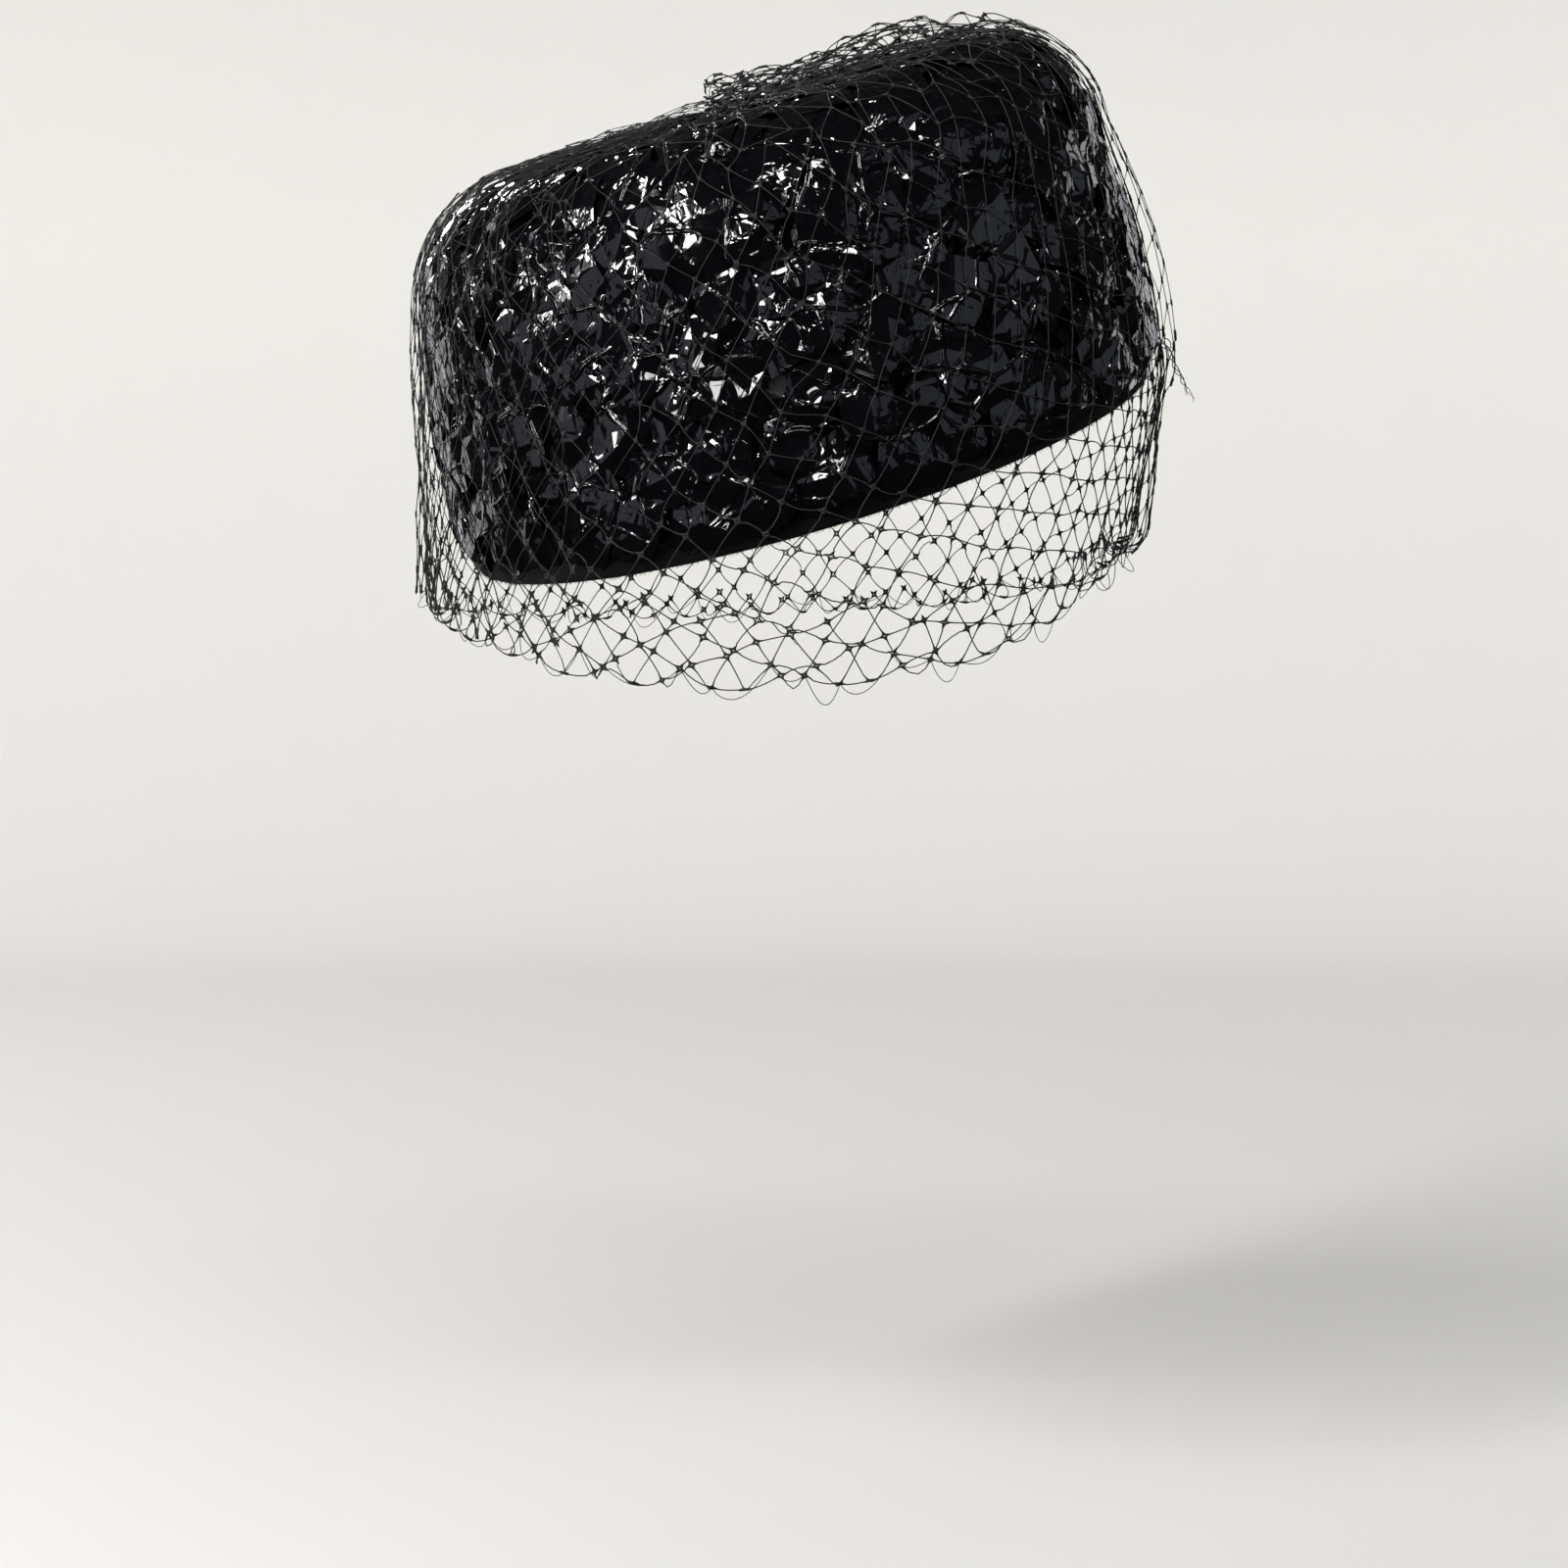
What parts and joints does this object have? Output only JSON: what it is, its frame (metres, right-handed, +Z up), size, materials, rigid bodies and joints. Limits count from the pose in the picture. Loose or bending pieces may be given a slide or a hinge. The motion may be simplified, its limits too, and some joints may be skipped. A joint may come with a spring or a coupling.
{
  "type": "pillbox hat",
  "caption": "Brimless pillbox hat covered in crinkled glossy black straw, with a velvet edge and a coarse net veil that is bunched on the crown and hangs below the rim, held tilted as worn.",
  "frame": {"origin": "centre of the head opening, level with the hat's lower edge, where the head goes in", "axes": "+Z up, along the wearer's upright head; -Y the way the face looks; +X towards the wearer's left, the side on which the tilted hat stands higher"},
  "size_m": [0.2028, 0.2228, 0.1965],
  "materials": {
    "straw": "crinkled glossy film straw",
    "velvet": "matte velvet",
    "netting": "stiffened net thread"
  },
  "bodies": {
    "root": {"crown": "straw", "rim_binding": "velvet", "veil": "netting", "top_ruffle": "netting"}
  },
  "joints": []
}
